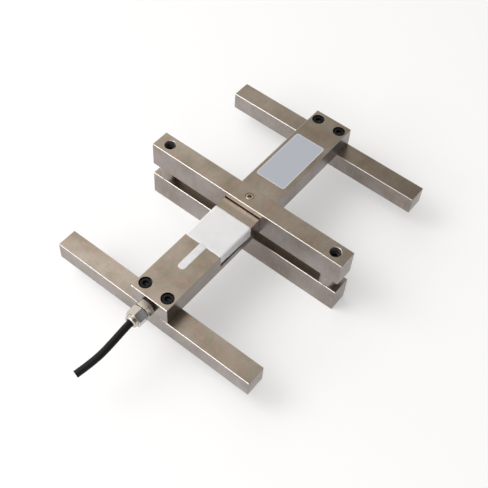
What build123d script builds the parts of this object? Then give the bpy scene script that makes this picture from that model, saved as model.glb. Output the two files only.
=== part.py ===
from build123d import *
import math
import os

# Strain gauge load cell for wire ropes. A flat sensing beam lies along Y on two end bars, and a
# clamp of two cross bars hangs from a load screw at its middle. The ropes run along Y beside the
# beam, under the end bars and over the lower clamp bar. Z is up, and the lower clamp bar stands
# on Z = 0 with its middle at the origin.

# Sensing beam
beam_length = 269.4
beam_width = 40.0
beam_thickness = 20.0

# Cross bars
bar_length = 214.1
bar_width = 19.6
end_bar_height = 19.0
lower_bar_height = 27.0
rope_gap = 13.5
bridge_thickness = 5.8
notch_top_gap = 1.6
notch_side_gap = 0.15
beam_drop = 0.5
edge_chamfer = 0.4

# Cap screws that hold the end bars
screw_diameter = 6.0
screw_length = 25.0
screw_point_chamfer = 0.9
screw_head_diameter = 10.0
screw_head_height = 6.0
screw_head_chamfer = 0.4
screw_socket = 5.0
screw_socket_depth = 3.2
screw_inset = 7.75
counterbore_gap = 1.0
head_sink = 0.6
tap_runout = 3.0

# Clamp screws, sunk in the upper clamp bar
clamp_screw_length = 45.0
clamp_hole_inset = 13.2
clamp_shoulder = 15.0
clamp_bore_gap = 0.25

# Load screw
load_screw_diameter = 8.0
load_screw_chamfer = 0.8
load_screw_socket = 4.0
load_screw_socket_depth = 4.0
load_screw_cup = 4.0

# Clearances, and how far a cutting form runs past the face that it cuts
shank_gap = 0.3
thread_gap = 0.05
cable_gap = 0.05
gland_gap = 0.1
washer_gap = 0.15
core_gap = 0.075
overrun = 1.0

# Gauge recess, placed from the clamp's front face, and the wire groove, from the beam's front end
patch_gap = 13.1
patch_length = 41.7
patch_drop = 13.6
patch_depth = 1.0
pocket_depth = 3.0
pocket_round = 2.0
groove_start = 39.0
groove_width = 7.5
groove_depth = 4.0
wire_bore_diameter = 6.5
sealant_proud = 0.25
sealant_round = 0.8
groove_fill_proud = 0.05

# Strain gauges, bridge board and wires
gauge_length = 9.0
gauge_width = 5.0
gauge_thickness = 0.1
gauge_tab = 1.4
gauge_tab_height = 0.1
gauge_spacing = 15.0
gauge_row_gap = 1.5
gauge_side_gap = 0.5
pocket_edge_gap = 3.0
board_width = 14.0
board_length = 6.0
board_thickness = 0.8
pad_diameter = 1.6
pad_height = 0.1
pad_pitch = 2.5
wire_diameter = 1.1
wire_pitch = 1.25
wire_bend = 1.6
wire_floor_gap = 0.35

# Label, placed from the beam's rear end
label_gap = 38.1
label_length = 65.5
label_width = 32.0
label_offset = -0.7
label_thickness = 0.15
label_round = 2.5

# Cable gland, measured outwards from the beam's front end face
washer_diameter = 17.0
washer_thickness = 2.4
washer_round = 0.4
gland_thread_diameter = 12.0
gland_thread_length = 8.0
gland_chamfer = 0.5
gland_hex = 15.0
hex_corner_cut = 1.0
hex_cut_angle = 30.0
hex_cut_margin = 0.05
body_hex_length = 6.6
neck_length = 6.5
neck_wall = 0.95
seat_depth = 7.0
seal_wall = 0.85
claw_wall = 0.65
claw_reach = 3.0
claw_tip_gap = 0.2
claw_slots = 8
claw_slot_width = 0.8
claw_slot_length = 6.0
nut_gap = 0.7
nut_hex_length = 9.8
nut_turn = 19.0
nut_collar_diameter = 12.0
nut_collar_length = 3.8
nut_collar_round = 1.0
nut_mouth_gap = 0.45
nut_shoulder = 0.2

# Cable: its inner end, and the points of its centre line beyond that, each as the distance
# sideways, outwards from the beam's front end face and up from the gland's axis
cable_diameter = 6.5
cable_stop = 4.0
cable_points = [
    (0.0, 24.2, 0.0),
    (1.2, 44.5, -1.3),
    (0.6, 64.7, -4.6),
    (-4.2, 82.7, -8.2),
]
cable_bend_share = 0.45

# Levels and places of the bars and the beam
lower_top = lower_bar_height
upper_bottom = lower_top + rope_gap
beam_bottom = upper_bottom - beam_drop
beam_top = beam_bottom + beam_thickness
notch_ceiling = beam_top + notch_top_gap
upper_top = notch_ceiling + bridge_thickness
front_end = -beam_length / 2
gland_axis = beam_bottom + beam_thickness / 2
clamp_x = bar_length / 2 - clamp_hole_inset
end_bar_y = beam_length / 2 - bar_width / 2
screw_x = beam_width / 2 - screw_inset
screw_seat = beam_top - head_sink - screw_head_height
clamp_seat = upper_bottom + clamp_shoulder
tap_diameter = screw_diameter + 2 * thread_gap
shank_bore = screw_diameter + 2 * shank_gap
drill_point = math.tan(math.radians(31.0))

# Rows in the gauge pocket, from the board at its front to the axial gauges at its back
pocket_width = gauge_spacing + gauge_width + 2 * pocket_edge_gap
row_lengths = board_length + gauge_width + gauge_length + 2 * gauge_row_gap
pocket_length = row_lengths + 2 * pocket_edge_gap
patch_middle = -bar_width / 2 - patch_gap - patch_length / 2
pocket_floor = beam_top - patch_depth - pocket_depth
board_front = patch_middle - row_lengths / 2
board_middle = board_front + board_length / 2
cross_middle = board_front + board_length + gauge_row_gap + gauge_width / 2
axial_middle = patch_middle + row_lengths / 2 - gauge_length / 2
cross_x = gauge_length / 2 + gauge_side_gap
groove_floor = beam_top - groove_depth
groove_tip = front_end + groove_start
riser_y = groove_tip + groove_width / 2

# Heights and radii in the gland, from the beam's front end face and from its axis
body_face = washer_thickness + body_hex_length
neck_top = body_face + neck_length
seat_floor = neck_top - seat_depth
seal_end = neck_top + nut_gap
claw_end = seal_end + claw_reach
nut_back = body_face + nut_gap
nut_step = nut_back + nut_hex_length
nut_front = nut_step + nut_collar_length
cable_radius = cable_diameter / 2
seal_inner = cable_radius + cable_gap
seal_outer = seal_inner + seal_wall
claw_inner = seal_outer + cable_gap
claw_outer = claw_inner + claw_wall
claw_tip_inner = cable_radius + claw_tip_gap
seat_radius = claw_outer + gland_gap
neck_radius = seat_radius + neck_wall
mouth_radius = cable_radius + nut_mouth_gap
core_radius = (3 * wire_pitch + wire_diameter) / 2 + core_gap
gland_place = Pos(0, front_end, gland_axis) * Rot(90, 0, 0)


# Rectangular block between two corners
def box(x0, x1, y0, y1, z0, z1):
    return Pos((x0 + x1) / 2, (y0 + y1) / 2, (z0 + z1) / 2) * Box(x1 - x0, y1 - y0, z1 - z0)


# Upright cylinder between two levels
def rod(x, y, z0, z1, diameter):
    return Pos(x, y, (z0 + z1) / 2) * Cylinder(diameter / 2, z1 - z0)


# Solid turned about its own Z axis, from pairs of radius and height
def turned(*points):
    return revolve(make_face(Plane.XZ * Polyline(*points, close=True)), Axis.Z)


# Ground bar on the given level, centred in X and Y, with broken edges
def ground_bar(size_x, size_y, bottom, height):
    bar = box(-size_x / 2, size_x / 2, -size_y / 2, size_y / 2, bottom, bottom + height)
    return chamfer(bar.edges(), edge_chamfer)


# Cone left by the drill's point below the given level
def drill_tip(x, y, level, diameter):
    radius = diameter / 2
    return Pos(x, y, level) * turned((0, 0), (radius, 0), (0, -radius * drill_point))


# Blind drilled hole going down from the given level
def drilled(x, y, top, depth, diameter):
    return rod(x, y, top - depth, top, diameter) + drill_tip(x, y, top - depth, diameter)


# Hexagon socket cut down from the given level
def hex_socket(across, depth, top):
    hexagon = RegularPolygon(across / 2, 6, major_radius=False)
    socket = Pos(0, 0, top - depth) * extrude(hexagon, depth)
    return socket + drill_tip(0, 0, top - depth, across)


# Socket cap screw with its head's underside at Z = 0
def cap_screw(length):
    radius = screw_diameter / 2
    head = screw_head_diameter / 2
    body = turned(
        (0, -length),
        (radius - screw_point_chamfer, -length),
        (radius, screw_point_chamfer - length),
        (radius, 0),
        (head, 0),
        (head, screw_head_height - screw_head_chamfer),
        (head - screw_head_chamfer, screw_head_height),
        (0, screw_head_height),
    )
    return body - hex_socket(screw_socket, screw_socket_depth, screw_head_height)


# Middle of each cap screw in the beam
def beam_screw_places():
    return {
        "front_left_screw": (-screw_x, -end_bar_y),
        "front_right_screw": (screw_x, -end_bar_y),
        "rear_left_screw": (-screw_x, end_bar_y),
        "rear_right_screw": (screw_x, end_bar_y),
    }


# Layer over the beam's top and sides at the gauges, standing out past its faces
def patch_layer(proud, rounding):
    side = beam_width / 2 + proud
    inner = beam_width / 2 - patch_depth
    front = patch_middle - patch_length / 2
    back = patch_middle + patch_length / 2
    low = beam_top - patch_drop
    layer = box(-side, side, front, back, low, beam_top + proud)
    if rounding:
        layer = fillet(layer.edges().filter_by(Axis.Y).group_by(Axis.Z)[-1], rounding)
    floor = beam_top - patch_depth
    return layer - box(-inner, inner, front - overrun, back + overrun, low - overrun, floor)


# Gauge pocket below the layer
def pocket_form():
    outline = RectangleRounded(pocket_width, pocket_length, pocket_round)
    return Pos(0, patch_middle, pocket_floor) * extrude(outline, beam_top - pocket_floor)


# Wire groove with its round end, up to the given level
def groove_form(top):
    middle = (riser_y + patch_middle) / 2
    strip = Rectangle(groove_width, patch_middle - riser_y)
    form = Pos(0, middle, groove_floor) * extrude(strip, top - groove_floor)
    return form + rod(0, riser_y, groove_floor, top, groove_width)


# Beam with its counterbored holes, gauge recess, tapped gland hole, wire bore and riser
def sensing_beam():
    beam = ground_bar(beam_width, beam_length, beam_bottom, beam_thickness)
    counterbore = screw_head_diameter + 2 * counterbore_gap
    for x, y in beam_screw_places().values():
        beam -= rod(x, y, screw_seat, beam_top + overrun, counterbore)
        beam -= rod(x, y, beam_bottom - overrun, screw_seat, shank_bore)
    beam -= patch_layer(overrun, 0)
    beam -= pocket_form()
    beam -= groove_form(beam_top + overrun)
    tap = gland_thread_diameter / 2 + thread_gap
    beam -= gland_place * rod(0, 0, -gland_thread_length - overrun, overrun, 2 * tap)
    bore_end = riser_y + wire_bore_diameter / 2
    beam -= gland_place * rod(0, 0, front_end - bore_end, 0, wire_bore_diameter)
    beam -= rod(0, riser_y, gland_axis, groove_floor + overrun, wire_bore_diameter)
    return beam


# End bar with two tapped holes for the cap screws
def end_bar(y):
    bar = Pos(0, y, 0) * ground_bar(
        bar_length, bar_width, beam_bottom - end_bar_height, end_bar_height
    )
    grip = screw_length - (screw_seat - beam_bottom)
    for x in (-screw_x, screw_x):
        bar -= drilled(x, y, beam_bottom, grip + tap_runout, tap_diameter)
    return bar


# Bar over the beam, with a notch below, the load screw's hole and bores that sink the clamp screws
def upper_clamp_bar():
    bar = ground_bar(bar_length, bar_width, upper_bottom, upper_top - upper_bottom)
    half = beam_width / 2 + notch_side_gap
    bar -= box(-half, half, -bar_width, bar_width, upper_bottom - overrun, notch_ceiling)
    load_tap = load_screw_diameter + 2 * thread_gap
    bar -= rod(0, 0, notch_ceiling - overrun, upper_top + overrun, load_tap)
    radius = screw_head_diameter / 2 + clamp_bore_gap
    for x in (-clamp_x, clamp_x):
        bore = turned(
            (0, clamp_seat - upper_top),
            (radius, clamp_seat - upper_top),
            (radius, -edge_chamfer),
            (radius + edge_chamfer + overrun, overrun),
            (0, overrun),
        )
        bar -= Pos(x, 0, upper_top) * bore
        bar -= rod(x, 0, upper_bottom - overrun, clamp_seat, shank_bore)
    return bar


# Bar that the ropes run over, tapped for the clamp screws
def lower_clamp_bar():
    bar = ground_bar(bar_length, bar_width, 0, lower_bar_height)
    grip = clamp_screw_length - clamp_shoulder - rope_gap
    for x in (-clamp_x, clamp_x):
        bar -= drilled(x, 0, lower_top, grip + tap_runout, tap_diameter)
    return bar


# Round tube between the clamp bars, as wide as they are
def spacer(x):
    tube = rod(x, 0, lower_top, upper_bottom, bar_width)
    return tube - rod(x, 0, lower_top - overrun, upper_bottom + overrun, shank_bore)


# Set screw from the beam's top to the top of the upper clamp bar, with a cup point
def load_screw():
    radius = load_screw_diameter / 2
    length = upper_top - beam_top
    cup = load_screw_cup / 2
    screw = turned(
        (0, cup * drill_point),
        (cup, 0),
        (radius - load_screw_chamfer, 0),
        (radius, load_screw_chamfer),
        (radius, length - load_screw_chamfer),
        (radius - load_screw_chamfer, length),
        (0, length),
    )
    screw -= hex_socket(load_screw_socket, load_screw_socket_depth, length)
    return Pos(0, 0, beam_top) * screw


# Foil gauge on the pocket floor: a thin carrier with two raised solder tabs
def gauge(x, y, turn):
    low = (Align.CENTER, Align.CENTER, Align.MIN)
    carrier = Box(gauge_width, gauge_length, gauge_thickness, align=low)
    tab = Box(gauge_tab, gauge_tab, gauge_tab_height, align=low)
    reach = gauge_length / 2 - gauge_tab
    for side in (-1, 1):
        carrier += Pos(side * gauge_tab, -reach, gauge_thickness) * tab
    return Pos(x, y, pocket_floor) * Rot(0, 0, turn) * carrier


def gauges():
    axial_x = gauge_spacing / 2
    return {
        "left_axial_gauge": gauge(-axial_x, axial_middle, 0),
        "right_axial_gauge": gauge(axial_x, axial_middle, 0),
        "left_cross_gauge": gauge(-cross_x, cross_middle, 90),
        "right_cross_gauge": gauge(cross_x, cross_middle, -90),
    }


# Place of each core wire in its row, counted in pitches from the middle
def wire_places():
    return {"red_wire": -1.5, "black_wire": -0.5, "green_wire": 0.5, "white_wire": 1.5}


# Bridge board on the pocket floor, with a raised solder pad for each wire
def bridge_board():
    half = board_width / 2
    top = pocket_floor + board_thickness
    board = box(-half, half, board_front, board_front + board_length, pocket_floor, top)
    for place in wire_places().values():
        board += rod(place * pad_pitch, board_middle, top, top + pad_height, pad_diameter)
    return board


# Core wire from the cable's inner end along the bore, up the riser and down the groove to the board
def core_wire(place):
    x = place * wire_pitch
    level = groove_floor + wire_floor_gap + wire_diameter / 2
    route = [
        (x, front_end - cable_stop, gland_axis),
        (x, riser_y, gland_axis),
        (x, riser_y, level),
        (x, board_front, level),
    ]
    path = FilletPolyline(*route, radius=wire_bend)
    section = Plane(path @ 0, z_dir=path % 0) * Circle(wire_diameter / 2)
    return sweep(section, path)


# White silicone that fills the recess, the pocket and the groove round what lies in them
def gauge_sealant(inner):
    fill = patch_layer(sealant_proud, sealant_round)
    fill += pocket_form()
    fill += groove_form(beam_top + groove_fill_proud)
    for piece in inner:
        fill -= piece
    return fill


def name_label():
    y = beam_length / 2 - label_gap - label_length / 2
    outline = RectangleRounded(label_width, label_length, label_round)
    return Pos(label_offset, y, beam_top) * extrude(outline, label_thickness)


# Hexagon between two heights, with its corners turned off at the upper end or at both ends
def hex_block(z0, z1, turn, both_ends):
    corner = gland_hex / math.sqrt(3) + hex_cut_margin
    rim = corner - hex_corner_cut
    rise = hex_corner_cut * math.tan(math.radians(hex_cut_angle))
    foot = [(rim, z0), (corner, z0 + rise)] if both_ends else [(corner, z0)]
    bound = turned((0, z0), *foot, (corner, z1 - rise), (rim, z1), (0, z1))
    hexagon = RegularPolygon(gland_hex / 2, 6, major_radius=False, rotation=turn)
    return Pos(0, 0, z0) * extrude(hexagon, z1 - z0) & bound


def gland_washer():
    inner = gland_thread_diameter / 2 + washer_gap
    outer = washer_diameter / 2
    ring = turned((inner, 0), (outer, 0), (outer, washer_thickness), (inner, washer_thickness))
    rims = ring.edges().filter_by(GeomType.CIRCLE).sort_by(SortBy.RADIUS)[-2:]
    return gland_place * fillet(rims, washer_round)


# Gland body: thread, hexagon and neck, bored for the cores, the cable and the seal
def gland_body():
    thread = gland_thread_diameter / 2
    passage = cable_radius + gland_gap
    body = turned(
        (0, -gland_thread_length),
        (thread - gland_chamfer, -gland_thread_length),
        (thread, gland_chamfer - gland_thread_length),
        (thread, washer_thickness),
        (neck_radius, washer_thickness),
        (neck_radius, neck_top - gland_chamfer),
        (neck_radius - gland_chamfer, neck_top),
        (0, neck_top),
    )
    body += hex_block(washer_thickness, body_face, 0, False)
    body -= turned(
        (0, -gland_thread_length - overrun),
        (core_radius, -gland_thread_length - overrun),
        (core_radius, cable_stop),
        (passage, cable_stop),
        (passage, seat_floor),
        (seat_radius, seat_floor),
        (seat_radius, neck_top + overrun),
        (0, neck_top + overrun),
    )
    return gland_place * body


# Rubber sleeve between the cable and the cage
def gland_seal():
    return gland_place * turned(
        (seal_inner, seat_floor),
        (seal_outer, seat_floor),
        (seal_outer, seal_end),
        (seal_inner, seal_end),
    )


# Nylon cage round the seal: its slotted fingers lean in to the cable
def gland_claw():
    bend = seal_end + gland_gap
    cage = turned(
        (claw_inner, seat_floor),
        (claw_outer, seat_floor),
        (claw_outer, bend),
        (claw_tip_inner + claw_wall, claw_end),
        (claw_tip_inner, claw_end),
        (claw_inner, bend),
    )
    half = claw_slot_width / 2
    reach = claw_outer + overrun
    slot = box(0, reach, -half, half, claw_end - claw_slot_length, claw_end + overrun)
    for k in range(claw_slots):
        cage -= Rot(0, 0, k * 360 / claw_slots) * slot
    return gland_place * cage


# Gland nut: hexagon with a stepped round front, bored for the neck and coned over the cage
def gland_nut():
    collar = nut_collar_diameter / 2
    bore = neck_radius + thread_gap
    nut = hex_block(nut_back, nut_step, nut_turn, True)
    nut += turned(
        (0, nut_back),
        (collar, nut_back),
        (collar, nut_front - nut_collar_round),
        (collar - nut_collar_round, nut_front),
        (0, nut_front),
    )
    nut -= turned(
        (0, nut_back - overrun),
        (bore, nut_back - overrun),
        (bore, seal_end),
        (seat_radius, seal_end + gland_gap),
        (claw_tip_inner + claw_wall + gland_gap, claw_end + gland_gap),
        (mouth_radius, claw_end + gland_gap + nut_shoulder),
        (mouth_radius, nut_front - gland_chamfer),
        (mouth_radius + gland_chamfer + overrun, nut_front + overrun),
        (0, nut_front + overrun),
    )
    return gland_place * nut


# Cable: straight runs joined by tangent arcs, each arc as large as its two runs allow
def signal_cable():
    points = [Vector(0, front_end - cable_stop, gland_axis)]
    points += [Vector(x, front_end - out, gland_axis + up) for x, out, up in cable_points]
    runs = [b - a for a, b in zip(points, points[1:])]
    radii = []
    for before, after in zip(runs, runs[1:]):
        half_turn = math.radians(before.get_angle(after)) / 2
        shorter = min(before.length, after.length)
        radii.append(cable_bend_share * shorter / math.tan(half_turn))
    print("cable runs", [round(run.length, 2) for run in runs])
    print("cable radii", [round(radius, 1) for radius in radii])
    path = FilletPolyline(*points, radius=radii)
    section = Plane(path @ 0, z_dir=path % 0) * Circle(cable_radius)
    tube = sweep(section, path)
    expected = math.pi * cable_radius ** 2 * path.length
    print("cable length", round(path.length, 2), "volume ratio", round(tube.volume / expected, 5))
    return tube


def build():
    parts = {
        "sensing_beam": sensing_beam(),
        "front_end_bar": end_bar(-end_bar_y),
        "rear_end_bar": end_bar(end_bar_y),
        "upper_clamp_bar": upper_clamp_bar(),
        "lower_clamp_bar": lower_clamp_bar(),
        "left_spacer": spacer(-clamp_x),
        "right_spacer": spacer(clamp_x),
        "load_screw": load_screw(),
        "left_clamp_screw": Pos(-clamp_x, 0, clamp_seat) * cap_screw(clamp_screw_length),
        "right_clamp_screw": Pos(clamp_x, 0, clamp_seat) * cap_screw(clamp_screw_length),
    }
    for name, (x, y) in beam_screw_places().items():
        parts[name] = Pos(x, y, screw_seat) * cap_screw(screw_length)
    inner = gauges()
    inner["bridge_board"] = bridge_board()
    for name, place in wire_places().items():
        inner[name] = core_wire(place)
    parts.update(inner)
    parts["gauge_sealant"] = gauge_sealant(inner.values())
    parts["name_label"] = name_label()
    parts["gland_washer"] = gland_washer()
    parts["gland_body"] = gland_body()
    parts["gland_seal"] = gland_seal()
    parts["gland_claw"] = gland_claw()
    parts["gland_nut"] = gland_nut()
    parts["signal_cable"] = signal_cable()
    return parts


os.makedirs("parts", exist_ok=True)
for name, shape in build().items():
    export_step(shape, f"parts/{name}.step")
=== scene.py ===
import bmesh
import bpy
import math
from mathutils import Matrix, Vector, noise


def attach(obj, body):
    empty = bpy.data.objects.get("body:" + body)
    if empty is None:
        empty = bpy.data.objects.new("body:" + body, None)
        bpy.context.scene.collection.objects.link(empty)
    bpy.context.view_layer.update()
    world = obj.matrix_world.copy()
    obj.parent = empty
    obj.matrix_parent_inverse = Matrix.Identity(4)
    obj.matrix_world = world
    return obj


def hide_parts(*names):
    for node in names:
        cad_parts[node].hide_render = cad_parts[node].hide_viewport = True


# Looks of a strain gauge load cell for wire ropes, built round its CAD model. Metres, Z up.
# +Y runs along the sensing beam from the cable's end to the label's end.

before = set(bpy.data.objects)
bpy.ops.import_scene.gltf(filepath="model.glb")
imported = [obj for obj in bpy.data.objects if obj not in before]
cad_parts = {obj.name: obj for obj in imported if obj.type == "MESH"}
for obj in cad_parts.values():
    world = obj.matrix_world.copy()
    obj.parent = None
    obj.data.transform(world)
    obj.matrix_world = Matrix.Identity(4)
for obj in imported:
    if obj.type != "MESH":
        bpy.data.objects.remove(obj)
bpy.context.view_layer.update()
scene = bpy.context.scene
scene.view_settings.view_transform = "Standard"
print("frame loaded,", len(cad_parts), "nodes")


def linearColour(hexText):
    channels = [int(hexText[k:k + 2], 16) / 255 for k in (1, 3, 5)]
    return tuple(c / 12.92 if c <= 0.04045 else ((c + 0.055) / 1.055) ** 2.4 for c in channels)


def addNode(tree, kind, settings=None, **inputs):
    # Settings are the node's own options. Inputs fill its sockets, by name or as i0, i1 and so on
    # by place, with a link, a node's first output, a hex colour or a plain value.
    node = tree.nodes.new(kind)
    for key, value in (settings or {}).items():
        setattr(node, key, value)
    for key, value in inputs.items():
        place = int(key[1:]) if key[0] == "i" and key[1:].isdigit() else key.replace("_", " ")
        socket = node.inputs[place]
        if isinstance(value, bpy.types.Node):
            value = value.outputs[0]
        if isinstance(value, bpy.types.NodeSocket):
            tree.links.new(value, socket)
        elif isinstance(value, str):
            socket.default_value = (*linearColour(value), 1.0)
        else:
            socket.default_value = value
    return node


def newMaterial(name):
    material = bpy.data.materials.new(name)
    material.use_nodes = True
    material.node_tree.nodes.clear()
    return material, material.node_tree


def boxOf(nodeName):
    # least and greatest corner of a CAD node
    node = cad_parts[nodeName]
    corners = [node.matrix_world @ Vector(corner) for corner in node.bound_box]
    return [Vector([pick(corner[axis] for corner in corners) for axis in range(3)])
            for pick in (min, max)]


beamLow, beamHigh = boxOf("sensing_beam")
millimetres = 1000.0    # in a metre: a noise's scale is this over the size of its cells

# Steel bars and beam, surface ground and satin nickel plated: warm grey, soft reflections,
# cloudy in places, with faint grinding lines across the bars and along the beam. Painted light
# by the way faces point: sides darker and cooler and undersides darker (painted shade), chamfers
# paler and even (painted highlight). Each range is from where a noise or a slope starts to show
# to where it shows fully.
steelLook = {
    "pale": "#C1B8AD",
    # colour, the pattern that carries it, its range and its greatest share
    "stains": [
        ("#A69A8B", "cloud", (0.35, 0.65), 1.0),      # brown
        ("#BFA79D", "blotch", (0.5, 0.7), 0.75),      # pink
        ("#A7A493", "blotch", (0.45, 0.25), 0.75),    # olive
    ],
    # size in millimetres, noise detail and roughness
    "patterns": {
        "cloud": (33.3, 3.0, 0.5),
        "blotch": (7.69, 3.0, 0.6),
        "fleck": (2.38, 2.0, 0.6),
        "grain": (1.43, 0.0, 0.5),    # coarser than real grinding lines, so that they show
    },
    "grainStretch": 0.12,
    "grainShade": 0.02,
    "sideGrain": 0.03,                # more of it on the sides
    "fleckShade": 0.035,
    "noiseRange": (0.3, 0.7),         # of grain and flecks
    # painted shade: faces that point sideways are made darker and cooler
    "sideShadeTint": "#DBDDE6",
    "sideRange": (0.75, 0.35),        # from tops to sides, by how far the face points up
    "chamfer": "#C3BCB6",             # painted highlight along the chamfered edges
    "chamferSlope": math.sqrt(0.5),
    "chamferWithin": 0.05,
    "under": "#756E64",               # painted shade on faces that point down
    "underShadeRange": (-0.5, -0.9),
    "rough": (0.28, 0.32),
}
# Bores that sink the clamp screws: rougher than the faces as drilled, and paler, partly the
# drilled finish and partly painted light on their shaded walls
clampBore = {"x": 0.09385, "radius": 0.0056, "below": 0.067, "colour": "#E6DED4", "rough": 0.38}


def boreMask(tree, place):
    # 1 inside the two clamp bores, 0 elsewhere
    axes = addNode(tree, "ShaderNodeSeparateXYZ", Vector=place)
    outwards = addNode(tree, "ShaderNodeMath", {"operation": "ABSOLUTE"}, i0=axes.outputs["X"])
    across = addNode(tree, "ShaderNodeMath", {"operation": "SUBTRACT"}, i0=outwards,
                     i1=clampBore["x"])
    flat = addNode(tree, "ShaderNodeCombineXYZ", X=across, Y=axes.outputs["Y"])
    away = addNode(tree, "ShaderNodeVectorMath", {"operation": "LENGTH"}, i0=flat)
    near = addNode(tree, "ShaderNodeMath", {"operation": "LESS_THAN"}, i0=away.outputs["Value"],
                   i1=clampBore["radius"])
    deep = addNode(tree, "ShaderNodeMath", {"operation": "LESS_THAN"}, i0=axes.outputs["Z"],
                   i1=clampBore["below"])
    return addNode(tree, "ShaderNodeMath", {"operation": "MULTIPLY"}, i0=near, i1=deep)


def groundSteel(name, grainAlong, bored=False):
    # grainAlong holds the axes that the grinding lines run along
    look = steelLook
    material, tree = newMaterial(name)
    place = addNode(tree, "ShaderNodeTexCoord").outputs["Object"]
    stretch = [look["grainStretch"] if axis in grainAlong else 1.0 for axis in "XYZ"]
    drawn = addNode(tree, "ShaderNodeMapping", Vector=place, Scale=stretch)
    pattern = {}
    for kind, (size, detail, roughness) in look["patterns"].items():
        pattern[kind] = addNode(tree, "ShaderNodeTexNoise",
                                Vector=drawn if kind == "grain" else place,
                                Scale=millimetres / size, Detail=detail, Roughness=roughness)
    layers = []    # of share, colour and way of mixing, from the plating upwards
    for colour, kind, (low, high), most in look["stains"]:
        share = addNode(tree, "ShaderNodeMapRange", Value=pattern[kind], From_Min=low,
                        From_Max=high, To_Max=most)
        layers.append((share, colour, "MIX"))

    normal = addNode(tree, "ShaderNodeNewGeometry").outputs["Normal"]
    upwards = addNode(tree, "ShaderNodeSeparateXYZ", Vector=normal).outputs["Z"]
    slope = addNode(tree, "ShaderNodeMath", {"operation": "ABSOLUTE"}, i0=upwards)
    # faces that point sideways: deeper grinding lines, and the painted shade tint
    low, high = look["sideRange"]
    side = addNode(tree, "ShaderNodeMapRange", Value=slope, From_Min=low, From_Max=high)
    layers.append((side, look["sideShadeTint"], "MULTIPLY"))

    # grinding lines and flecks lighten and darken the colour
    low, high = look["noiseRange"]
    depth = addNode(tree, "ShaderNodeMath", {"operation": "MULTIPLY_ADD"}, i0=side,
                    i1=look["sideGrain"], i2=look["grainShade"])
    wave = addNode(tree, "ShaderNodeMapRange", Value=pattern["grain"], From_Min=low,
                   From_Max=high, To_Min=-1.0, To_Max=1.0)
    lines = addNode(tree, "ShaderNodeMath", {"operation": "MULTIPLY_ADD"}, i0=wave, i1=depth,
                    i2=1.0)
    flecks = addNode(tree, "ShaderNodeMapRange", Value=pattern["fleck"], From_Min=low,
                     From_Max=high, To_Min=-look["fleckShade"], To_Max=look["fleckShade"])
    shade = addNode(tree, "ShaderNodeMath", {"operation": "ADD"}, i0=lines, i1=flecks)
    grey = addNode(tree, "ShaderNodeCombineColor", Red=shade, Green=shade, Blue=shade)
    layers.append((1.0, grey, "MULTIPLY"))
    rough = addNode(tree, "ShaderNodeMapRange", Value=pattern["grain"], From_Min=low,
                    From_Max=high, To_Min=look["rough"][0], To_Max=look["rough"][1])

    # painted highlight: chamfered edges take a paler, even colour
    chamfer = addNode(tree, "ShaderNodeMath", {"operation": "COMPARE"}, i0=slope,
                      i1=look["chamferSlope"], i2=look["chamferWithin"])
    layers.append((chamfer, look["chamfer"], "MIX"))
    # painted shade: faces that point down are darkened
    low, high = look["underShadeRange"]
    under = addNode(tree, "ShaderNodeMapRange", Value=upwards, From_Min=low, From_Max=high)
    layers.append((under, look["under"], "MIX"))
    # inside the clamp bores: rougher, and a paler colour that is partly painted light
    if bored:
        inside = boreMask(tree, place)
        layers.append((inside, clampBore["colour"], "MIX"))
        rough = addNode(tree, "ShaderNodeMix", i0=inside, i2=rough, i3=clampBore["rough"])

    tint = look["pale"]
    for share, colour, blend in layers:
        tint = addNode(tree, "ShaderNodeMix", {"data_type": "RGBA", "blend_type": blend},
                       i0=share, i6=tint, i7=colour).outputs[2]
    shader = addNode(tree, "ShaderNodeBsdfPrincipled", Metallic=1.0, Base_Color=tint,
                     Roughness=rough)
    addNode(tree, "ShaderNodeOutputMaterial", Surface=shader)
    return material


# Fine unevenness of the plain finishes, as noise detail and strength
gritLook = {"detail": 3.0, "strength": 0.5}


def plainFinish(name, colour, metallic, rough, gritSize=0.0, gritDepth=0.0, **more):
    # one colour, uneven where a grit size in millimetres and its depth in metres are given
    material, tree = newMaterial(name)
    if gritSize:
        place = addNode(tree, "ShaderNodeTexCoord").outputs["Object"]
        uneven = addNode(tree, "ShaderNodeTexNoise", Vector=place, Scale=millimetres / gritSize,
                         Detail=gritLook["detail"])
        more["Normal"] = addNode(tree, "ShaderNodeBump", Height=uneven,
                                 Strength=gritLook["strength"], Distance=gritDepth)
    shader = addNode(tree, "ShaderNodeBsdfPrincipled", Base_Color=colour, Metallic=metallic,
                     Roughness=rough, **more)
    addNode(tree, "ShaderNodeOutputMaterial", Surface=shader)
    return material


# Silicone smoothed by hand: off-white, soft gloss, slow waves and a few greyer places. Light
# sinks in a few millimetres, which softens the rounded edges.
siliconeLook = {
    "pale": "#E3E3E4",
    "grey": "#D8D9DB",
    "greyPattern": (22.2, 4.0, 0.6),      # size in millimetres, noise detail and roughness
    "greyRange": (0.45, 0.7),
    "wavePattern": (11.76, 2.0, 0.45),
    "waveDepth": 0.0005,
    "waveStrength": 0.6,
    "rough": 0.4,
    "bending": 1.41,                      # refractive index of silicone
    "glowThrough": 0.35,
    "glowReach": 0.003,
}


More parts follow.
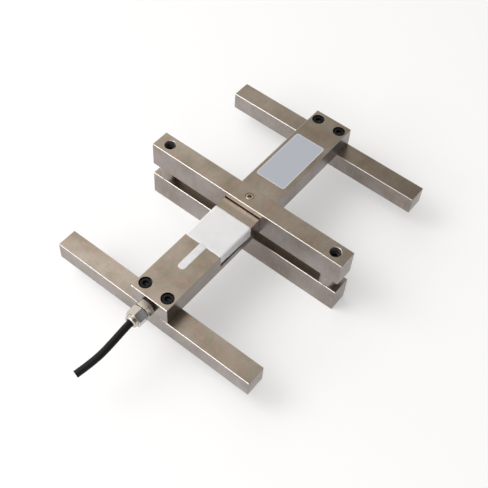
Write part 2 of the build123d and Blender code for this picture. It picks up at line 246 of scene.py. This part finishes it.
def curedSilicone():
    look = siliconeLook
    material, tree = newMaterial("curedSilicone")
    place = addNode(tree, "ShaderNodeTexCoord").outputs["Object"]
    pattern = {}
    for kind in ("greyPattern", "wavePattern"):
        size, detail, roughness = look[kind]
        pattern[kind] = addNode(tree, "ShaderNodeTexNoise", Vector=place,
                                Scale=millimetres / size, Detail=detail, Roughness=roughness)
    low, high = look["greyRange"]
    share = addNode(tree, "ShaderNodeMapRange", Value=pattern["greyPattern"], From_Min=low,
                    From_Max=high)
    tint = addNode(tree, "ShaderNodeMix", {"data_type": "RGBA"}, i0=share, i6=look["pale"],
                   i7=look["grey"]).outputs[2]
    bump = addNode(tree, "ShaderNodeBump", Height=pattern["wavePattern"],
                   Strength=look["waveStrength"], Distance=look["waveDepth"])
    shader = addNode(tree, "ShaderNodeBsdfPrincipled", Base_Color=tint, Roughness=look["rough"],
                     IOR=look["bending"], Subsurface_Weight=look["glowThrough"],
                     Subsurface_Radius=(1.0, 1.0, 1.0), Subsurface_Scale=look["glowReach"],
                     Normal=bump)
    addNode(tree, "ShaderNodeOutputMaterial", Surface=shader)
    return material


# Label of silvery blue-grey polyester film with a paler border, left bare
labelLook = {
    "film": "#B0B4BD",
    "border": "#C9CBD0",
    "corner": 0.0025,
    "borderWidth": 0.0009,
    "rough": 0.32,
}


def labelFilm():
    look = labelLook
    material, tree = newMaterial("polyesterLabelFilm")
    place = addNode(tree, "ShaderNodeTexCoord").outputs["Object"]
    axes = addNode(tree, "ShaderNodeSeparateXYZ", Vector=place)
    # distance from the outline drawn in by its corner radius, which runs round the corners
    past, outside = [], []
    for axis, least, most in zip("XY", *boxOf("name_label")):
        off = addNode(tree, "ShaderNodeMath", {"operation": "SUBTRACT"}, i0=axes.outputs[axis],
                      i1=(least + most) / 2)
        away = addNode(tree, "ShaderNodeMath", {"operation": "ABSOLUTE"}, i0=off)
        past.append(addNode(tree, "ShaderNodeMath", {"operation": "SUBTRACT"}, i0=away,
                            i1=(most - least) / 2 - look["corner"]))
        outside.append(addNode(tree, "ShaderNodeMath", {"operation": "MAXIMUM"}, i0=past[-1],
                               i1=0.0))
    both = addNode(tree, "ShaderNodeCombineXYZ", X=outside[0], Y=outside[1])
    reach = addNode(tree, "ShaderNodeVectorMath", {"operation": "LENGTH"}, i0=both)
    nearest = addNode(tree, "ShaderNodeMath", {"operation": "MAXIMUM"}, i0=past[0], i1=past[1])
    within = addNode(tree, "ShaderNodeMath", {"operation": "MINIMUM"}, i0=nearest, i1=0.0)
    distance = addNode(tree, "ShaderNodeMath", {"operation": "ADD"}, i0=reach.outputs["Value"],
                       i1=within)
    border = addNode(tree, "ShaderNodeMath", {"operation": "GREATER_THAN"}, i0=distance,
                     i1=look["corner"] - look["borderWidth"])
    tint = addNode(tree, "ShaderNodeMix", {"data_type": "RGBA"}, i0=border, i6=look["film"],
                   i7=look["border"]).outputs[2]
    shader = addNode(tree, "ShaderNodeBsdfPrincipled", Base_Color=tint, Roughness=look["rough"])
    addNode(tree, "ShaderNodeOutputMaterial", Surface=shader)
    return material


barSteel = groundSteel("groundSteelAcross", "YZ")
clampSteel = groundSteel("groundSteelBored", "YZ", True)
beamSteel = groundSteel("groundSteelAlong", "Y")
silicone = curedSilicone()
film = labelFilm()
# Zinc plating: yellowish and soft, so the small socket of the load screw stays light
zincSteel = plainFinish("zincPlatedSteel", "#C6BBA4", 1.0, 0.46, 1.11, 0.00005)
# Black oxide: nearly black, with a dull metal sheen on the heads' rims and sockets
blackOxide = plainFinish("blackOxideSteel", "#1B1A1C", 0.6, 0.36, 0.667, 0.00003)
# Polished nickel on brass: warm and nearly a mirror, which draws each flat of the gland
nickelBrass = plainFinish("nickelPlatedBrass", "#C2BAB0", 1.0, 0.17, 2.0, 0.00004)
# Thread turns coloured near black and dull: painted shade for the gap behind the nut
paintedShadeThread = plainFinish("paintedShadeThread", "#15120F", 0.3, 0.5)
# Moulded rubber: matt black for the seal, brownish for the washer
rubber = plainFinish("mouldedRubber", "#100E0D", 0.0, 0.75, 0.833, 0.00005)
washerRubber = plainFinish("brownBlackRubber", "#1C110C", 0.0, 0.7, 0.833, 0.00005)
# Moulded nylon: milky and half matt
nylon = plainFinish("mouldedNylon", "#DCDCD6", 0.0, 0.5)
# Extruded cable jacket: black and matt, with only a weak line of light along it
jacket = plainFinish("extrudedCableJacket", "#0B0B0C", 0.0, 0.6, 0.556, 0.00003,
                     Specular_IOR_Level=0.28)
# Under the silicone: amber foil, green lacquer and four cores in smooth, clean colours
foilCarrier = plainFinish("polyimideFoil", "#B37A2C", 0.0, 0.3)
boardLacquer = plainFinish("lacquerOnBoard", "#1E6B38", 0.0, 0.35)
redCore = plainFinish("redCoreInsulation", "#A82420", 0.0, 0.4)
blackCore = plainFinish("blackCoreInsulation", "#1B1B1B", 0.0, 0.4)
greenCore = plainFinish("greenCoreInsulation", "#23743A", 0.0, 0.4)
whiteCore = plainFinish("whiteCoreInsulation", "#E4E4E0", 0.0, 0.4)

nodeFinish = {
    "sensing_beam": beamSteel,
    "front_end_bar": barSteel,
    "rear_end_bar": barSteel,
    "upper_clamp_bar": clampSteel,
    "lower_clamp_bar": barSteel,
    "left_spacer": barSteel,
    "right_spacer": barSteel,
    "load_screw": zincSteel,
    "left_clamp_screw": blackOxide,
    "right_clamp_screw": blackOxide,
    "front_left_screw": blackOxide,
    "front_right_screw": blackOxide,
    "rear_left_screw": blackOxide,
    "rear_right_screw": blackOxide,
    "left_axial_gauge": foilCarrier,
    "right_axial_gauge": foilCarrier,
    "left_cross_gauge": foilCarrier,
    "right_cross_gauge": foilCarrier,
    "bridge_board": boardLacquer,
    "red_wire": redCore,
    "black_wire": blackCore,
    "green_wire": greenCore,
    "white_wire": whiteCore,
    "gauge_sealant": silicone,
    "name_label": film,
    "gland_washer": washerRubber,
    "gland_body": nickelBrass,
    "gland_seal": rubber,
    "gland_claw": nylon,
    "gland_nut": nickelBrass,
    "signal_cable": jacket,
}
for nodeName, finish in nodeFinish.items():
    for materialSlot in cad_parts[nodeName].material_slots:
        materialSlot.material = finish
print("finishes given")


def newPiece(name, mesh, finish):
    # a finished piece of the load cell, attached to the root body
    piece = bpy.data.objects.new(name, mesh)
    scene.collection.objects.link(piece)
    if not mesh.materials:
        mesh.materials.append(finish)
    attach(piece, "root")
    return piece


# Copies in a ring round an axis or in a row along it, each built as a node tree
def startTree(name, inputs):
    tree = bpy.data.node_groups.new(name, "GeometryNodeTree")
    tree.interface.new_socket("Source", in_out="INPUT", socket_type="NodeSocketGeometry")
    for label, kind in inputs:
        tree.interface.new_socket(label, in_out="INPUT", socket_type="NodeSocket" + kind)
    tree.interface.new_socket("Copies", in_out="OUTPUT", socket_type="NodeSocketGeometry")
    return tree, addNode(tree, "NodeGroupInput")


def endTree(tree, start, points, turn):
    copies = addNode(tree, "GeometryNodeInstanceOnPoints", Points=points,
                     Instance=start.outputs["Source"], Rotation=turn)
    real = addNode(tree, "GeometryNodeRealizeInstances", Geometry=copies)
    dressed = addNode(tree, "GeometryNodeSetMaterial", Geometry=real,
                      Material=start.outputs["Finish"])
    addNode(tree, "NodeGroupOutput", Copies=dressed)
    return tree


def ringTree():
    tree, start = startTree("ringOfCopies", [("Count", "Int"), ("Radius", "Float"),
                                             ("Finish", "Material")])
    circle = addNode(tree, "GeometryNodeMeshCircle", Vertices=start.outputs["Count"],
                     Radius=start.outputs["Radius"])
    step = addNode(tree, "ShaderNodeMath", {"operation": "DIVIDE"}, i0=math.tau,
                   i1=start.outputs["Count"])
    angle = addNode(tree, "ShaderNodeMath", {"operation": "MULTIPLY"},
                    i0=addNode(tree, "GeometryNodeInputIndex"), i1=step)
    turn = addNode(tree, "ShaderNodeCombineXYZ", Z=angle)
    return endTree(tree, start, circle, turn)


def rowTree():
    tree, start = startTree("rowOfCopies", [("Count", "Int"), ("Pitch", "Float"),
                                            ("Finish", "Material")])
    offset = addNode(tree, "ShaderNodeCombineXYZ", Z=start.outputs["Pitch"])
    line = addNode(tree, "GeometryNodeMeshLine", Count=start.outputs["Count"], Offset=offset)
    still = addNode(tree, "ShaderNodeCombineXYZ")
    return endTree(tree, start, line, still)


def copiesMesh(name, source, tree, values):
    # runs the tree on the source mesh and returns what comes out as a plain mesh
    piece = bpy.data.objects.new(name, source)
    scene.collection.objects.link(piece)
    modifier = piece.modifiers.new("copies", "NODES")
    modifier.node_group = tree
    sockets = {item.name: item.identifier for item in tree.interface.items_tree
               if item.in_out == "INPUT"}
    for label, value in values.items():
        modifier[sockets[label]] = value
    bpy.context.view_layer.update()
    evaluated = piece.evaluated_get(bpy.context.evaluated_depsgraph_get())
    mesh = bpy.data.meshes.new_from_object(evaluated)
    bpy.data.objects.remove(piece)
    mesh.name = name
    return mesh


def meshOf(name, corners, faces):
    mesh = bpy.data.meshes.new(name)
    mesh.from_pydata(corners, [], faces)
    mesh.update()
    return mesh


def shadeByAngle(work, degrees):
    # smooth faces, with a crease where two of them meet more sharply than this
    limit = math.radians(degrees)
    for face in work.faces:
        face.smooth = True
    for edge in work.edges:
        edge.smooth = not edge.is_manifold or edge.calc_face_angle(0.0) < limit


def creased(mesh, degrees):
    # faces turned outwards and shaded by angle, and the count of open edges for the log
    work = bmesh.new()
    work.from_mesh(mesh)
    bmesh.ops.recalc_face_normals(work, faces=work.faces)
    shadeByAngle(work, degrees)
    print(mesh.name, "open edges", sum(1 for edge in work.edges if not edge.is_manifold))
    work.to_mesh(mesh)
    work.free()
    return mesh


def turned(name, section, sides):
    # the closed section of radius and height pairs, turned round the Z axis
    corners = []
    for k in range(sides):
        angle = math.tau * k / sides
        corners += [(r * math.cos(angle), r * math.sin(angle), z) for r, z in section]
    size, total = len(section), len(corners)
    faces = []
    for here in range(0, total, size):
        there = (here + size) % total
        for j in range(size):
            after = (j + 1) % size
            faces.append((here + j, there + j, there + after, here + after))
    return meshOf(name, corners, faces)


# Knurls down the sides of the cap screws' heads
knurl = {
    "count": 40,
    "headRadius": 0.005,
    "proud": 0.00016,
    "width": 0.00052,
    "shoulder": (0.6, 0.7),       # shares of the half width and of the proud height
    "sink": 0.0001,
    "foot": 0.0003,
    "height": 0.0053,
}
# Middle of each cap screw head's underside
capScrews = {
    "frontLeftKnurls": (-0.01225, -0.1249, 0.0534),
    "frontRightKnurls": (0.01225, -0.1249, 0.0534),
    "rearLeftKnurls": (-0.01225, 0.1249, 0.0534),
    "rearRightKnurls": (0.01225, 0.1249, 0.0534),
    "leftClampKnurls": (-0.09385, 0.0, 0.0555),
    "rightClampKnurls": (0.09385, 0.0, 0.0555),
}


def ridge():
    # one upright ridge, round towards +X, with its ends sloped
    half, proud = knurl["width"] / 2, knurl["proud"]
    across, out = knurl["shoulder"]
    rounds = [(-knurl["sink"], -half), (proud * out, -half * across), (proud, 0.0),
              (proud * out, half * across), (-knurl["sink"], half)]
    low, high = knurl["foot"], knurl["height"]
    corners = [(x, y, low + (proud if x > 0 else 0.0)) for x, y in rounds]
    corners += [(x, y, high - (proud if x > 0 else 0.0)) for x, y in rounds]
    size = len(rounds)
    faces = [(k, (k + 1) % size, (k + 1) % size + size, k + size) for k in range(size)]
    faces += [tuple(reversed(range(size))), tuple(range(size, 2 * size))]
    return meshOf("ridge", corners, faces)


def buildKnurls():
    tree = ringTree()
    values = {"Count": knurl["count"], "Radius": knurl["headRadius"], "Finish": blackOxide}
    ring = copiesMesh("knurls", ridge(), tree, values)
    for name, place in capScrews.items():
        mesh = ring.copy()
        mesh.transform(Matrix.Translation(place))
        newPiece(name, mesh, blackOxide)


buildKnurls()
print("knurls cut")


# Silicone over the gauges, smoothed by hand: a skin folded over the beam's edges, thin at its
# rim, with its foot on the beam's sides higher at the front, and a strip that fills the wire
# groove. Heights are over the beam's own faces. Each noise is a scale and a shift.
patch = {
    "front": -0.0646,
    "back": -0.0229,
    "footFront": 0.0513,          # height of the foot at both ends
    "footBack": 0.0477,
    "footWobble": 0.0006,
    "footNoise": (180.0, 7.0),
    "handShift": 0.05,            # keeps the two feet unlike each other
    "fold": 0.0017,               # radius over the beam's edges
    "lift": 0.00034,              # height of the skin
    "under": -0.00098,            # and of its hidden underside
    "overlap": 0.0003,            # over the edge of the recess
    "endRim": 0.0013,
    "endSink": -0.00018,
    "footRim": 0.0022,
    "footSink": -0.0006,
    "rimWobble": 0.0003,
    "rimNoise": (260.0, 21.0),
    "rimSteps": 6,
    "wave": 0.00008,
    "waveNoise": (110.0, 3.0),
    "ripple": 0.000025,
    "rippleNoise": (420.0, 9.0),
    "step": 0.0009,
    "sideShares": (-0.03, 0.0, 0.02, 0.05, 0.08, 0.12, 0.17, 0.23, 0.3, 0.4, 0.52, 0.64,
                   0.76, 0.88),
    "arcSteps": 8,
    "topSteps": 22,
    "crease": 50.0,
}
groove = {
    "tip": -0.0957,
    "half": 0.00375,
    "wobble": 0.00006,
    "noise": (500.0, 5.0),
    # distance in from the groove's edge, and height
    "rings": [(-0.0001, -0.0002), (0.00012, 0.00002), (0.0004, 0.00009), (0.001, 0.00012),
              (0.0022, 0.00012)],
    "under": -0.001,
    "arcSteps": 24,
    "straightSteps": 20,
}


def unevenness(kind, *place):
    # between -1 and 1, the same at each run
    scale, shift = kind
    return noise.noise(Vector([scale * value for value in place]) + Vector((0.0, 0.0, shift)))


def patchColumns():
    # places along the beam, closer together within a rim's width of both ends
    start, end = patch["front"] - patch["overlap"], patch["back"] + patch["overlap"]
    rim, steps = patch["endRim"], patch["rimSteps"]
    fine = [rim * k / steps for k in range(steps + 1)]
    run = end - start - 2 * rim
    count = round(run / patch["step"])
    middle = [start + rim + run * k / count for k in range(1, count)]
    return [start + d for d in fine] + middle + [end - d for d in reversed(fine)]


def patchRows():
    # from the left foot over the top to the right foot
    left = [("side", share) for share in patch["sideShares"]]
    left += [("fold", k / patch["arcSteps"]) for k in range(patch["arcSteps"] + 1)]
    left += [("top", k / patch["topSteps"]) for k in range(1, patch["topSteps"] + 1)]
    return [(-1, *row) for row in left] + [(1, *row) for row in reversed(left[:-1])]


def patchPlace(row, y):
    # place on the beam's outline, direction outwards and distance up from the foot
    hand, part, share = row
    fold, side, top = patch["fold"], beamHigh.x, beamHigh.z
    along = (y - patch["front"]) / (patch["back"] - patch["front"])
    foot = patch["footFront"] + (patch["footBack"] - patch["footFront"]) * along
    shift = patch["handShift"] * hand
    foot += patch["footWobble"] * unevenness(patch["footNoise"], y, shift, 0.0)
    run = top - fold - foot
    if part == "side":
        return (hand * side, foot + run * share), (hand, 0.0), run * share
    if part == "fold":
        angle = math.pi / 2 * share
        out = (hand * math.cos(angle), math.sin(angle))
        place = (hand * (side - fold) + fold * out[0], top - fold + fold * out[1])
        return place, out, run + fold * angle
    return (hand * (side - fold) * (1.0 - share), top), (0.0, 1.0), run + fold * 2


def rounded(reach):
    # a quarter circle's rise, from 0 at the rim to 1 where it meets the flat
    return math.sqrt(1.0 - (1.0 - min(1.0, max(0.0, reach))) ** 2)


def patchHeight(place, y, fromFoot):
    # skin's height over the beam's face
    x, z = place
    wobble = patch["overlap"] + patch["rimWobble"] * unevenness(patch["rimNoise"], x, y, z)
    inside = min(y - patch["front"], patch["back"] - y)
    ends = rounded((inside + wobble) / patch["endRim"])
    foot = rounded((fromFoot + wobble) / patch["footRim"])
    height = patch["lift"] - (patch["lift"] - patch["endSink"]) * (1.0 - ends)
    height -= (patch["lift"] - patch["footSink"]) * (1.0 - foot)
    height += ends * foot * (patch["wave"] * unevenness(patch["waveNoise"], x, y, z)
                             + patch["ripple"] * unevenness(patch["rippleNoise"], x, y, z))
    return max(height, patch["under"] + patch["ripple"])


def addPatchSkin(corners, faces):
    # the same grid twice, as the skin and as its underside
    rows, columns = patchRows(), patchColumns()
    first = len(corners)
    for level in ("skin", "under"):
        for row in rows:
            for y in columns:
                (x, z), out, fromFoot = patchPlace(row, y)
                height = patchHeight((x, z), y, fromFoot) if level == "skin" else patch["under"]
                corners.append((x + out[0] * height, y, z + out[1] * height))
    across, layer = len(columns), len(rows) * len(columns)
    for i in range(len(rows) - 1):
        for j in range(across - 1):
            a = first + i * across + j
            b = a + layer
            faces.append((a, a + 1, a + across + 1, a + across))
            faces.append((b, b + across, b + across + 1, b + 1))
    # a wall round the rim joins both layers
    last = len(rows) - 1
    rim = [(0, j) for j in range(across)]
    rim += [(i, across - 1) for i in range(1, last + 1)]
    rim += [(last, j) for j in range(across - 2, -1, -1)]
    rim += [(i, 0) for i in range(last - 1, 0, -1)]
    places = [first + i * across + j for i, j in rim]
    for a, b in zip(places, places[1:] + places[:1]):
        faces.append((b, a, a + layer, b + layer))


def addGrooveFill(corners, faces):
    # rings of one outline, down one side, round the groove's end and up the other side
    half = groove["half"]
    turnAt = groove["tip"] + half
    steps = groove["straightSteps"]
    angles = [math.pi * k / groove["arcSteps"] for k in range(groove["arcSteps"] + 1)]
    run = patch["front"] + patch["endRim"] - turnAt
    rings = groove["rings"] + [(0.0, groove["under"])]
    starts = []
    for inset, height in rings:
        starts.append(len(corners))
        radius = half - inset
        flat = [(-radius, turnAt + run * (1 - k / steps)) for k in range(steps)]
        flat += [(-radius * math.cos(angle), turnAt - radius * math.sin(angle))
                 for angle in angles]
        flat += [(radius, turnAt + run * k / steps) for k in range(1, steps + 1)]
        for x, y in flat:
            shift = groove["wobble"] * unevenness(groove["noise"], x, y, 0.0)
            corners.append((x, y, beamHigh.z + height + shift))
    size = len(flat)
    for a, b in zip(starts, starts[1:-1]):
        for k in range(size - 1):
            faces.append((a + k, a + k + 1, b + k + 1, b + k))
    # the innermost ring and the underside are closed by strips across
    for ring, up in ((starts[-2], True), (starts[-1], False)):
        for k in range((size - 1) // 2):
            quad = [ring + k, ring + k + 1, ring + size - 2 - k, ring + size - 1 - k]
            quad = quad[:2] + quad[3:] if quad[1] == quad[2] else quad
            faces.append(tuple(quad if up else reversed(quad)))
    outer, under = starts[0], starts[-1]
    for k in range(size - 1):
        faces.append((outer + k + 1, outer + k, under + k, under + k + 1))
    # and the end below the skin by a wall of the ring's ends
    right = [ring + size - 1 for ring in starts]
    faces.append(tuple(starts[:-1] + right[-2::-1] + [right[-1], starts[-1]]))


def buildPatch():
    corners, faces = [], []
    addPatchSkin(corners, faces)
    addGrooveFill(corners, faces)
    mesh = creased(meshOf("siliconePatch", corners, faces), patch["crease"])
    piece = newPiece("siliconePatch", mesh, silicone)
    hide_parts("gauge_sealant")


buildPatch()
print("silicone smoothed")


# Softened copies of the gland's metal pieces: the same shapes with their sharp edges rounded
softEdge = {
    "width": 0.00028,
    "segments": 2,
    "sharpAngle": 28.0,
    "mergeWithin": 0.000002,
    "flatWithin": 0.5,
    "profile": 0.5,               # round
}


def softCopy(nodeName, pieceName, finish):
    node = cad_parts[nodeName]
    mesh = node.data.copy()
    mesh.transform(node.matrix_world)
    work = bmesh.new()
    work.from_mesh(mesh)
    bmesh.ops.remove_doubles(work, verts=work.verts, dist=softEdge["mergeWithin"])
    bmesh.ops.dissolve_limit(work, angle_limit=math.radians(softEdge["flatWithin"]),
                             verts=work.verts, edges=work.edges)
    limit = math.radians(softEdge["sharpAngle"])
    sharp = [edge for edge in work.edges
             if edge.is_manifold and edge.calc_face_angle(0.0) > limit]
    bmesh.ops.bevel(work, geom=sharp, offset=softEdge["width"], segments=softEdge["segments"],
                    profile=softEdge["profile"], affect="EDGES", clamp_overlap=True)
    bmesh.ops.recalc_face_normals(work, faces=work.faces)
    shadeByAngle(work, softEdge["sharpAngle"])
    work.to_mesh(mesh)
    work.free()
    mesh.materials.clear()
    piece = newPiece(pieceName, mesh, finish)
    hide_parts(nodeName)
    return piece


glandBody = softCopy("gland_body", "glandBody", nickelBrass)
glandNut = softCopy("gland_nut", "glandNut", nickelBrass)
print("gland softened")


# Rubber washer squeezed between the gland's hexagon and the beam's end face
washer = {
    "hole": 0.00615,
    "radius": 0.0076,
    "thick": 0.0024,
    "round": 0.0004,
    "roundSteps": 4,
    "sides": 96,
    "crease": 40.0,
}
# Thread turns on the gland's neck, seen in the gap behind the nut, coloured near black as painted
# shade
neckThread = {
    "root": 0.0058,
    "crest": 0.0064,
    "pitch": 0.00034,
    "turns": 2,
    "sides": 72,
    "start": 0.00912,             # out from the beam's end face
}


def alongGland(mesh, start):
    # from a mesh round Z to one round the gland's axis, this far out from the beam
    low, high = boxOf("gland_body")
    place = Matrix.Translation((0.0, beamLow.y - start, (low.z + high.z) / 2))
    mesh.transform(place @ Matrix.Rotation(math.radians(90), 4, "X"))
    return mesh


def buildWasher():
    radius, thick, soft = washer["radius"], washer["thick"], washer["round"]
    angles = [math.pi / 2 * k / washer["roundSteps"] for k in range(washer["roundSteps"] + 1)]
    section = [(washer["hole"], 0.0)]
    section += [(radius - soft + soft * math.sin(a), soft - soft * math.cos(a)) for a in angles]
    section += [(radius - soft + soft * math.cos(a), thick - soft + soft * math.sin(a))
                for a in angles]
    section += [(washer["hole"], thick)]
    mesh = alongGland(turned("sealingWasher", section, washer["sides"]), 0.0)
    creased(mesh, washer["crease"])
    piece = newPiece("sealingWasher", mesh, washerRubber)
    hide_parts("gland_washer")
    return piece


def buildNeckThread():
    root, half = neckThread["root"], neckThread["pitch"] / 2
    turn = turned("threadTurn", [(root, -half), (neckThread["crest"], 0.0), (root, half)],
                  neckThread["sides"])
    values = {"Count": neckThread["turns"], "Pitch": neckThread["pitch"], "Finish": paintedShadeThread}
    mesh = alongGland(copiesMesh("neckThread", turn, rowTree(), values), neckThread["start"])
    return newPiece("neckThread", mesh, paintedShadeThread)


sealingWasher = buildWasher()
neckTurns = buildNeckThread()
print("neck threaded")


# Signal cable, black and round, cut off square a hand's breadth from the gland
cable = {
    "points": [
        (0.0, -0.1387, 0.05),
        (0.0, -0.1589, 0.05),
        (0.0012, -0.1792, 0.0487),
        (0.0006, -0.1994, 0.0454),
        (-0.0042, -0.2174, 0.0418),
    ],
    "radius": 0.00325,
    "length": 0.08,
    "round": 12,
    "steps": 16,
}


def buildCable():
    curve = bpy.data.curves.new("signalCable", "CURVE")
    curve.dimensions = "3D"
    spline = curve.splines.new("NURBS")
    spline.points.add(len(cable["points"]) - 1)
    for point, place in zip(spline.points, cable["points"]):
        point.co = (*place, 1.0)
    spline.order_u = 3
    spline.use_endpoint_u = True
    spline.resolution_u = cable["steps"]
    curve.bevel_depth = cable["radius"]
    curve.bevel_resolution = cable["round"]
    curve.use_fill_caps = True
    curve.materials.append(jacket)
    piece = bpy.data.objects.new("signalCable", curve)
    scene.collection.objects.link(piece)
    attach(piece, "root")
    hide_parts("signal_cable")
    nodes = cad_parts
    gland = [nodes["gland_seal"], nodes["gland_claw"]]
    gland += [sealingWasher, glandBody, glandNut, neckTurns]


buildCable()
print("cable laid")


# Matt white floor that keeps a faint shadow: a share of it glows white for what the eye sees
floor = {"colour": "#FDFDFD", "half": 20.0, "rough": 0.9, "glow": 0.33, "white": "#FFFFFF"}


def buildFloor():
    half = floor["half"]
    corners = [(-half, -half, 0), (half, -half, 0), (half, half, 0), (-half, half, 0)]
    mesh = meshOf("floor", corners, [(0, 1, 2, 3)])
    material, tree = newMaterial("matteFloorPaper")
    paper = addNode(tree, "ShaderNodeBsdfPrincipled", Base_Color=floor["colour"],
                    Roughness=floor["rough"])
    rays = addNode(tree, "ShaderNodeLightPath")
    seen = rays.outputs["Is Camera Ray"]
    for kind in ("Is Glossy Ray", "Is Transmission Ray"):
        seen = addNode(tree, "ShaderNodeMath", {"operation": "ADD"}, i0=seen,
                       i1=rays.outputs[kind])
    once = addNode(tree, "ShaderNodeMath", {"operation": "MINIMUM"}, i0=seen, i1=1.0)
    share = addNode(tree, "ShaderNodeMath", {"operation": "MULTIPLY"}, i0=once,
                    i1=floor["glow"])
    white = addNode(tree, "ShaderNodeEmission", Color=floor["white"])
    both = addNode(tree, "ShaderNodeMixShader", i0=share, i1=paper, i2=white)
    addNode(tree, "ShaderNodeOutputMaterial", Surface=both)
    mesh.materials.append(material)
    piece = bpy.data.objects.new("floor", mesh)
    scene.collection.objects.link(piece)


# Room: white towards the front left, warm overhead, dim towards the back right. Each stop is how
# far a direction points that way, from -1 to 1, and the room's colour there.
studio = {
    "towards": (-1.0, -1.0, 0.0),
    "stops": [(-0.85, "#9A9FA6"), (-0.6, "#6B6B6C"), (-0.42, "#46423C"), (-0.1, "#C4BFB7"),
              (0.12, "#FFFAF4"), (0.4, "#FFFFFF")],
    "strength": 1.14,
}


def buildStudio():
    world = bpy.data.worlds.new("studio")
    world.use_nodes = True
    scene.world = world
    tree = world.node_tree
    tree.nodes.clear()
    heading = addNode(tree, "ShaderNodeTexCoord").outputs["Generated"]
    facing = addNode(tree, "ShaderNodeVectorMath", {"operation": "DOT_PRODUCT"},
                     i0=heading, i1=Vector(studio["towards"]).normalized())
    share = addNode(tree, "ShaderNodeMapRange", Value=facing.outputs["Value"], From_Min=-1.0,
                    From_Max=1.0)
    glow = addNode(tree, "ShaderNodeValToRGB", Fac=share)
    ramp = glow.color_ramp
    while len(ramp.elements) < len(studio["stops"]):
        ramp.elements.new(0.5)
    for element, (where, colour) in zip(ramp.elements, studio["stops"]):
        element.position = (where + 1.0) / 2.0
        element.color = (*linearColour(colour), 1.0)
    light = addNode(tree, "ShaderNodeBackground", Color=glow, Strength=studio["strength"])
    addNode(tree, "ShaderNodeOutputWorld", Surface=light)


# A large soft box from the left, and a low strip at the front that draws the light edges
lamps = {
    "keyBox": {"place": (-0.9, -0.7, 1.3), "size": (0.9, 0.9), "watts": 10.5},
    "edgeBox": {"place": (-0.6, -1.5, 0.8), "size": (1.0, 0.3), "watts": 4.5},
}
lampAim = Vector((0.0, 0.0, 0.03))    # middle of the load cell


def buildLamps():
    for name, lamp in lamps.items():
        light = bpy.data.lights.new(name, "AREA")
        light.shape = "RECTANGLE"
        light.size, light.size_y = lamp["size"]
        light.energy = lamp["watts"]
        piece = bpy.data.objects.new(name, light)
        piece.location = lamp["place"]
        away = Vector(lamp["place"]) - lampAim
        piece.rotation_euler = away.to_track_quat("Z", "Y").to_euler()
        scene.collection.objects.link(piece)


# Camera of the photo, fitted to the part's straight edges
camera = {
    "place": (0.276232, -0.410888, 0.673093),
    "right": (0.783519, 0.618995, 0.054254),
    "up": (-0.52651, 0.615003, 0.586991),
    "back": (0.329978, -0.488483, 0.807774),
    "lens": 64.547,
    "nearest": 0.01,
    "farthest": 50.0,
}


def buildCamera():
    data = bpy.data.cameras.new("photoCamera")
    data.lens = camera["lens"]
    data.clip_start = camera["nearest"]
    data.clip_end = camera["farthest"]
    piece = bpy.data.objects.new("photoCamera", data)
    axes = Matrix((camera["right"], camera["up"], camera["back"])).transposed()
    piece.matrix_world = Matrix.Translation(camera["place"]) @ axes.to_4x4()
    scene.collection.objects.link(piece)
    scene.camera = piece


buildFloor()
buildStudio()
buildLamps()
buildCamera()
print("stage set")
